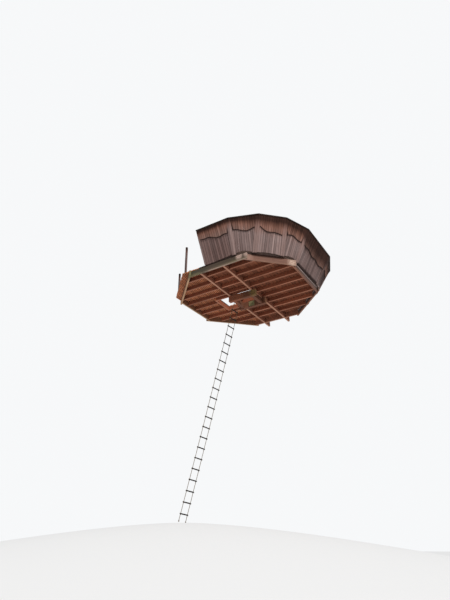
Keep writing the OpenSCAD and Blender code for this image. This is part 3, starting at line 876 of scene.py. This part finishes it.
def make_parapet():
    nails = []
    for side in SIDES:
        node = f"parapet_{side}"
        material = right_silver_wood if side == "right" else silver_wood
        plank_side(f"{node}_planks", material, node, node, PLANK_END_PLAY, nails)
    plank_side("upper_boards", wave_wood, "parapet_wave_boards", "wave", UPPER_END_PLAY, nails)
    corner_boards()
    for name in ("frame_rails", "studs", "sole"):
        single_boards(name, inner_wood, f"parapet_{name}")
    single_boards("cap", cap_wood, "parapet_cap")
    make_nails(nails)


# Frame, deck and clamp

RIM_LOOKS = {"edge": 0.006, "wander": 0.004}
DECK_PITCH = 0.135
DECK_GAP = 0.003
ALONG_BEAMS = Vector((0, 1, 0))


def make_frame():
    single_boards("near_rim_beam", grey_beam, "rim_beam_near", **RIM_LOOKS)
    single_boards("near_right_rim_beam", pale_beam, "rim_beam_near_right", **RIM_LOOKS)
    single_boards("right_rim_beams", right_beam, "rim_beam_right", "rim_beam_far_right", **RIM_LOOKS)
    single_boards("far_rim_beam", brown_beam, "rim_beam_far", **RIM_LOOKS)
    single_boards("left_rim_beams", terrace_beam, "rim_beam_far_left", "rim_beam_left",
                  "rim_beam_near_left", **RIM_LOOKS)
    single_boards("main_beams", brown_beam, "main_beam_left", "main_beam_right", edge=0.008, wander=0.004)
    single_boards("joists", red_wood, "joists_left", "joists_middle", "joists_right", edge=0.004)
    single_boards("trimmers", red_wood, "hatch_trimmers", edge=0.004)


def floor_boards(name, *replaced):
    """Deck boards that lie along the main beams."""
    pile = Pile()
    for node in replaced:
        for count, solid in enumerate(solids_of(node)):
            rng = random.Random(f"{node} {count}")
            axes = board_axes(solid, ALONG_BEAMS)
            for strip in strips(solid, axes[0], DECK_PITCH, DECK_GAP, rng):
                dress_board(pile, strip, axes, rng, step=0.4, end_play=0.003)
    pile.build(name, floor_wood, *replaced)


def make_deck():
    floor_boards("floor_boards", "floor_right", "floor_near", "floor_far", "hatch_threshold")
    single_boards("terrace_slats", slat_wood, "terrace_slats_outer", "terrace_slats_near",
                  "terrace_slats_far", step=0.4, wander=0.003, end_play=0.012)
    single_boards("posts", silver_wood, "terrace_posts", edge=0.005, wander=0.004, step=0.15)


def make_clamp():
    single_boards("clamp_beams", clamp_wood, "clamp_beam_near", "clamp_beam_far", edge=0.008)
    single_boards("clamp_sides", clamp_wood, "clamp_side_left", "clamp_side_right", edge=0.006)
    single_boards("clamp_pads", pad_wood, "clamp_pad_near", "clamp_pad_far")


# Small iron

# Rings of each small piece: distance out from the timber, and radius
NAIL = [(-0.003, 0.003), (0.0, 0.0042), (0.0012, 0.0034), (0.0018, 0.0012)]
WASHER = [(-0.002, 0.020), (0.003, 0.020), (0.003, 0.0192)]
BOLT_HEAD = [(0.002, 0.0144), (0.0124, 0.0144), (0.0142, 0.01248)]
# Sides of each ring
NAIL_SIDES = 7
WASHER_SIDES = 20
HEAD_SIDES = 6
# Bolts to the left and right of the clamp's middle, and at these shares of its beams' height
BOLT_X = 0.385
BOLT_HEIGHTS = (0.3, 0.7)


class Lathe:
    """Turned pieces of iron in one mesh: each is rings of points along an axis."""

    def __init__(self):
        self.points = []
        self.faces = []

    def add(self, place, axis, rings, sides):
        side, other = square_to(axis)
        self.faces += tube_faces(len(self.points), len(rings), sides)
        for reach, radius in rings:
            for angle in angles(sides):
                self.points.append(place + axis * reach + spoke(side, other, angle) * radius)

    def build(self, name):
        place_piece(new_mesh(name, self.points, self.faces, iron), name)


def make_nails(nails):
    lathe = Lathe()
    for place, axis in nails:
        lathe.add(place, axis.normalized(), NAIL, NAIL_SIDES)
    lathe.build("nails")


def make_bolts():
    """Washers and six-sided heads on the clamp beams' outer faces."""
    lathe = Lathe()
    for node, face, side in (("clamp_beam_near", 0, -1), ("clamp_beam_far", 1, 1)):
        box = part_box(node)
        axis = Vector((0, side, 0))
        for x in (-BOLT_X, BOLT_X):
            for height in BOLT_HEIGHTS:
                place = Vector((x, box[face].y, box[0].z + (box[1].z - box[0].z) * height))
                lathe.add(place, axis, WASHER, WASHER_SIDES)
                lathe.add(place, axis, BOLT_HEAD, HEAD_SIDES)
    lathe.build("clamp_bolts")


# Rope ladder

LADDER_ROUTE = [
    (-618, 232, 60), (-725, 189, -440), (-835, 147, -940), (-947, 104, -1440),
    (-1060, 61, -1940), (-1173, 19, -2440), (-1287, -24, -2940), (-1402, -67, -3440),
    (-1517, -110, -3940), (-1633, -152, -4440), (-1750, -195, -4940), (-1868, -238, -5440),
    (-1987, -281, -5940), (-2107, -324, -6440), (-2228, -366, -6940), (-2398, -426, -7640)
]
ROPE_SPACING = 0.290
ROPE_D = 0.018
RUNG_TURN = math.radians(76)
ROUTE = [from_clamp(*point) for point in LADDER_ROUTE]
LADDER_DIR = (ROUTE[-1] - ROUTE[0]).normalized()
RUNG_PLAN = Vector((math.cos(RUNG_TURN), math.sin(RUNG_TURN), 0))
RUNG_DIR = (RUNG_PLAN - LADDER_DIR * LADDER_DIR.dot(RUNG_PLAN)).normalized()

# In a rope of radius 1: the radius of its three strands, how far out they lie, and its grooves' floor
STRAND = 0.464
STRAND_OUT = 0.536
GROOVE_FLOOR = 0.5
# The way round the strands, against that round a smooth rope
GIRTH = 1.5
# How far the strands stand proud of the rope's own radius
PROUD = 1.15
# Length of rope in which a strand turns once
LAY = 0.064
# Cords: radius, lay, step between their rings, and sides of each ring
SIDE_ROPE = (ROPE_D / 2 * PROUD, LAY, 0.006, 18)
LOOP_ROPE = (ROPE_D / 2, LAY, 0.004, 12)
LASHING_CORD = (0.0062, 0.03, 0.004, 12)
STOPPER_CORD = (0.0085, 0.05, 0.004, 12)
SEIZING_CORD = (0.0028, 0.012, 0.003, 7)
# Windings: radius, turns, and length along the rope
LASHING = (0.0125, 4, 0.034)
STOPPER = (0.0115, 3, 0.036)
SEIZING = (0.0115, 3, 0.016)
WINDING_STEPS = 14
# The lashing starts this far above a rope's upper end
LASHING_UP = 0.005
# The stopper's core reaches this far above and below a rope's lower end
CORE_UP = 0.004
CORE_DOWN = 0.045
# A seizing starts this far below the middle of its rung
SEIZING_DOWN = 0.022

# Length of the knot between a rope and its eye, and thickness of the eye's bar
KNOT_LENGTH = 0.046
EYE_BAR = 0.009
# The loop round that bar: its radius, its steps, and how far its two ends spread and hang down
LOOP_RADIUS = 0.0135
LOOP_STEPS = 12
LOOP_SPREAD = 0.002
LOOP_DROP = 0.020

RUNG_HALF = 0.175
RUNG_RADIUS = 0.021
RUNG_SIDES = 16
RUNG_STEPS = 12
# How much thinner than its solid a rung is, how rough, and with how many bumps in a metre
RUNG_PEEL = 0.0012
RUNG_ROUGH = 0.0016
RUNG_BUMPS = 9
# Its edges are taken off over this length of its ends, by this much of its radius
TIP_LENGTH = 0.004
TIP_TAPER = 0.0035


def rope_path(side):
    """A side rope's points: beside the beam at the top, then at the ends of the rungs."""
    first = ROUTE[0] + Vector((0, side * ROPE_SPACING / 2, 0))
    return [first] + [point + RUNG_DIR * (side * ROPE_SPACING / 2) for point in ROUTE[1:]]


def length_of(path):
    return sum((b - a).length for a, b in zip(path, path[1:]))


def resample(path, step):
    """Points at even steps along a path."""
    legs = [b - a for a, b in zip(path, path[1:])]
    total = length_of(path)
    count = round(total / step)
    made = []
    stretch = 0
    passed = 0.0
    for place in range(count + 1):
        goal = total * place / count
        while stretch < len(legs) - 1 and passed + legs[stretch].length < goal:
            passed += legs[stretch].length
            stretch += 1
        made.append(path[stretch] + legs[stretch].normalized() * (goal - passed))
    return made


def strand_radius(angle):
    """Distance from a rope's middle to its surface, and how deep in a groove that is."""
    third = 2 * math.pi / 3
    off = (angle + third / 2) % third - third / 2
    aside = STRAND_OUT * math.sin(off)
    reach = STRAND_OUT * math.cos(off) + math.sqrt(max(STRAND ** 2 - aside ** 2, 0.0))
    reach = max(reach, GROOVE_FLOOR)
    return reach, (1.0 - reach) / (1.0 - GROOVE_FLOOR)


class Strands:
    """Laid ropes in one mesh: each is a section of three strands that turns along a path."""

    def __init__(self):
        self.points = []
        self.faces = []
        self.grain = []
        self.groove = []

    def add(self, path, radius, lay, step, sides):
        centres = resample(path, step)
        self.faces += tube_faces(len(self.points), len(centres), sides)
        side, _ = square_to((centres[1] - centres[0]).normalized())
        reach = 0.0
        for place, centre in enumerate(centres):
            before = centres[max(place - 1, 0)]
            after = centres[min(place + 1, len(centres) - 1)]
            tangent = (after - before).normalized()
            side = (side - tangent * side.dot(tangent)).normalized()
            other = tangent.cross(side)
            reach += (centre - before).length
            twist = 2 * math.pi * reach / lay
            for angle in angles(sides):
                out, groove = strand_radius(angle)
                self.points.append(centre + spoke(side, other, angle + twist) * (radius * out))
                self.grain.extend((angle * radius * GIRTH, 0.0, reach))
                self.groove.append(groove)

    def build(self, name, *replaced):
        mesh = new_mesh(name, self.points, self.faces, rope_grey, grain=self.grain, groove=self.groove)
        mesh.shade_smooth()
        return place_piece(mesh, name, replaced)


def winding(start, axis, radius, turns, length):
    """Points of a winding round an axis."""
    axis = axis.normalized()
    side, other = square_to(axis)
    count = round(turns * WINDING_STEPS)
    made = []
    for place in range(count + 1):
        out = spoke(side, other, 2 * math.pi * turns * place / count)
        made.append(start + out * radius + axis * (length * place / count))
    return made


def eye_loop(top):
    """A rope's way up through its eye and down again."""
    bar = top + UP * (KNOT_LENGTH + EYE_BAR / 2)
    loop = []
    for count in range(LOOP_STEPS + 1):
        angle = math.pi * count / LOOP_STEPS
        loop.append(bar + Vector((0, LOOP_RADIUS * math.cos(angle), LOOP_RADIUS * math.sin(angle))))
    start = loop[0] - Vector((0, LOOP_SPREAD, LOOP_DROP))
    stop = loop[-1] - Vector((0, -LOOP_SPREAD, LOOP_DROP))
    return [start, *loop, stop]


def make_knots(side, name, rungs):
    """A side rope's loop in its eye, its lashing, its stopper, and the seizings under the rungs."""
    strands = Strands()
    path = rope_path(side)
    top, foot = path[0], path[-1]
    strands.add(eye_loop(top), *LOOP_ROPE)
    strands.add(winding(top + UP * LASHING_UP, UP, *LASHING), *LASHING_CORD)
    strands.add(winding(foot, DOWN, *STOPPER), *STOPPER_CORD)
    strands.add([foot + UP * CORE_UP, foot - UP * CORE_DOWN], *STOPPER_CORD)
    for place, leg in rungs:
        down = leg.normalized()
        start = place + RUNG_DIR * (side * ROPE_SPACING / 2) + down * SEIZING_DOWN
        strands.add(winding(start, down, *SEIZING), *SEIZING_CORD)
    return strands.build(f"knots_{name}", "ladder_knots")


def rung_places():
    """The middle of each rung, halfway between the two ropes, and the way that they run there."""
    middles = [(a + b) / 2 for a, b in zip(rope_path(-1), rope_path(1))]
    made = []
    for solid in solids_of("ladder_rungs"):
        height = middle(solid).z
        solid.free()
        stretch = 0
        while stretch < len(middles) - 2 and middles[stretch + 1].z > height:
            stretch += 1
        start, stop = middles[stretch], middles[stretch + 1]
        made.append((start + (stop - start) * ((height - start.z) / (stop.z - start.z)), stop - start))
    return sorted(made, key=lambda rung: -rung[0].z)


def make_rungs(rungs):
    """Peeled round sticks, a little uneven, with the edges of their ends taken off."""
    pile = Pile()
    side, other = square_to(RUNG_DIR)
    inner = [RUNG_HALF * (2 * step / RUNG_STEPS - 1) for step in range(1, RUNG_STEPS)]
    reaches = [-RUNG_HALF, TIP_LENGTH - RUNG_HALF, *inner, RUNG_HALF - TIP_LENGTH, RUNG_HALF]
    for count, (place, _) in enumerate(rungs):
        rng = random.Random(f"rung {count}")
        seed = rng.uniform(0, 100)
        solid = bmesh.new()
        verts = []
        for reach in reaches:
            taper = TIP_TAPER if abs(reach) == RUNG_HALF else 0.0
            for angle in angles(RUNG_SIDES):
                spot = Vector((reach * RUNG_BUMPS, math.cos(angle), math.sin(angle) + seed))
                out = RUNG_RADIUS - RUNG_PEEL + noise.noise(spot) * RUNG_ROUGH - taper
                verts.append(solid.verts.new(place + RUNG_DIR * reach + spoke(side, other, angle) * out))
        for face in tube_faces(0, len(reaches), RUNG_SIDES):
            solid.faces.new([verts[corner] for corner in face])
        bmesh.ops.recalc_face_normals(solid, faces=solid.faces)
        pile.add(solid, (side, other, RUNG_DIR), rng)
    pile.build("rungs", rung_wood, "ladder_rungs")


def make_ladder():
    rungs = rung_places()
    make_rungs(rungs)
    for side, name in ((-1, "left"), (1, "right")):
        path = rope_path(side)
        strands = Strands()
        strands.add(path, *SIDE_ROPE)
        rope = strands.build(f"side_rope_{name}", f"ladder_rope_{name}")
        knots = make_knots(side, name, rungs)
    nodes["ladder_eyes"].data.materials.clear()
    nodes["ladder_eyes"].data.materials.append(iron)


# Floor and light

PALE = (0.84, 0.85, 0.86, 1)
# The floor is a low mound: the gap under the ladder's foot, its top, and how it falls away there
FOOT_GAP = 0.004
FLOOR_TOP = ROUTE[-1] - UP * (KNOT_LENGTH + FOOT_GAP)
MOUND_FALL = 3.6
MOUND_REACH = 17
MOUND_CURVE = 1.6
FLOOR_RINGS = 38
FLOOR_SPOKES = 72
FIRST_RING = 0.6
RING_GROWTH = 1.16

# What the camera and the gloss see, the light from all round, and the lamp
SEEN_COLOUR = (0.93, 0.94, 0.95, 1)
SKY_COLOUR = (0.97, 0.98, 1.0, 1)
KEY_COLOUR = (1.0, 0.975, 0.94)
SKY_LIGHT = 0.42
KEY_LIGHT = 3.0
# The lamp's width, and where it shines from, in degrees
KEY_WIDTH = 8
KEY_HEADING = -42
KEY_CLIMB = 34


def floor_height(x, y):
    """The mound falls away from its top and levels out further off."""
    away = math.hypot(x - FLOOR_TOP.x, y - FLOOR_TOP.y)
    fall = MOUND_FALL * (1 - math.exp(-((away / MOUND_REACH) ** MOUND_CURVE)))
    return FLOOR_TOP.z - fall


def make_floor():
    finish = Finish("pale_ground")
    finish.shader.inputs["Base Color"].default_value = PALE
    finish.shader.inputs["Roughness"].default_value = 1.0
    finish.shader.inputs["Specular IOR Level"].default_value = 0.0
    rings = [0] + [FIRST_RING * RING_GROWTH ** count for count in range(FLOOR_RINGS)]
    points = []
    for radius in rings:
        for angle in angles(FLOOR_SPOKES):
            x = FLOOR_TOP.x + radius * math.cos(angle)
            y = FLOOR_TOP.y + radius * math.sin(angle)
            points.append((x, y, floor_height(x, y)))
    faces = tube_faces(0, len(rings), FLOOR_SPOKES, closed=False)
    mesh = new_mesh("ground", points, faces, finish.material)
    mesh.shade_smooth()
    link("ground", mesh)


def make_sky():
    """Light from all round, and a pale backdrop where the camera or the gloss looks past the part."""
    world = bpy.data.worlds.new("sky")
    scene.world = world
    sky = Shading(world)
    sky.tree.nodes.clear()
    light = sky.add("Background", {"Color": SKY_COLOUR, "Strength": SKY_LIGHT}).outputs[0]
    seen = sky.add("Background", {"Color": SEEN_COLOUR}).outputs[0]
    path = sky.add("LightPath", {}).outputs
    either = sky.math("MAXIMUM", path["Is Camera Ray"], path["Is Glossy Ray"])
    sky.add("OutputWorld", {0: sky.add("MixShader", {0: either, 1: light, 2: seen}).outputs[0]})


def make_lamp():
    sun = bpy.data.lights.new("key", "SUN")
    sun.energy = KEY_LIGHT
    sun.angle = math.radians(KEY_WIDTH)
    sun.color = KEY_COLOUR
    heading = math.radians(KEY_HEADING)
    climb = math.radians(KEY_CLIMB)
    level = math.cos(climb)
    towards = Vector((math.cos(heading) * level, math.sin(heading) * level, math.sin(climb)))
    link("key", sun).rotation_euler = towards.to_track_quat("Z", "Y").to_euler()


make_camera()
make_ladder()
make_frame()
make_deck()
make_clamp()
make_parapet()
make_bolts()
make_floor()
make_sky()
make_lamp()
scene.view_settings.view_transform = "Standard"
